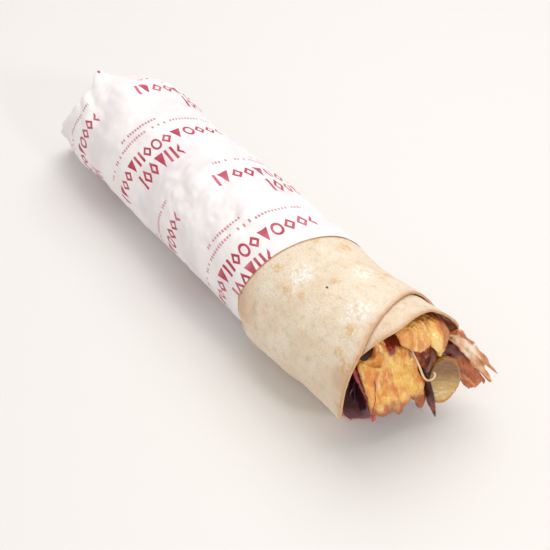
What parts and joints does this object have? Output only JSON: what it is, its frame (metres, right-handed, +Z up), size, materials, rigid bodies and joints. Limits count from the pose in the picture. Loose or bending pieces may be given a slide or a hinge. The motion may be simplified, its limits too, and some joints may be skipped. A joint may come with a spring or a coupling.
{
  "type": "chicken doner wrap",
  "caption": "Rolled flatbread wrap in a thin printed paper sleeve folded shut at the back, with chicken slices, red cabbage, pepper and a pickle slice hanging from its open mouth.",
  "frame": {"origin": "on the ground under the axis of the roll, in the flat strip it rests on, about 143 mm back from the furthest tip at the mouth", "axes": "+X along the roll towards its open mouth, +Y to the roll's side where the crisp strip hangs out, +Z up; the origin is 143 mm from the tip and 152 mm from the folded end"},
  "size_m": [0.2952, 0.0748, 0.0641],
  "materials": {
    "printed_paper": "thin matt wrapping paper",
    "flatbread": "soft floury bread",
    "filling": "moist dark filling",
    "chicken": "moist roasted meat",
    "chicken_dark": "moist dark roasted meat",
    "chicken_crisp": "glossy crisp edge",
    "pepper": "glossy",
    "cabbage": "moist leaf",
    "pickle": "wet, slightly see-through"
  },
  "bodies": {
    "root": {"paper_sleeve": "printed_paper", "tortilla": "flatbread", "filling_core": "filling", "chicken_slice_front": "chicken", "chicken_slice_upper": "chicken", "chicken_slice_side": "chicken_dark", "chicken_strip_crisp": "chicken_crisp", "pepper_strip": "pepper", "cabbage_strip": "cabbage", "cabbage_leaf": "cabbage", "pickle_slice": "pickle"}
  },
  "joints": []
}
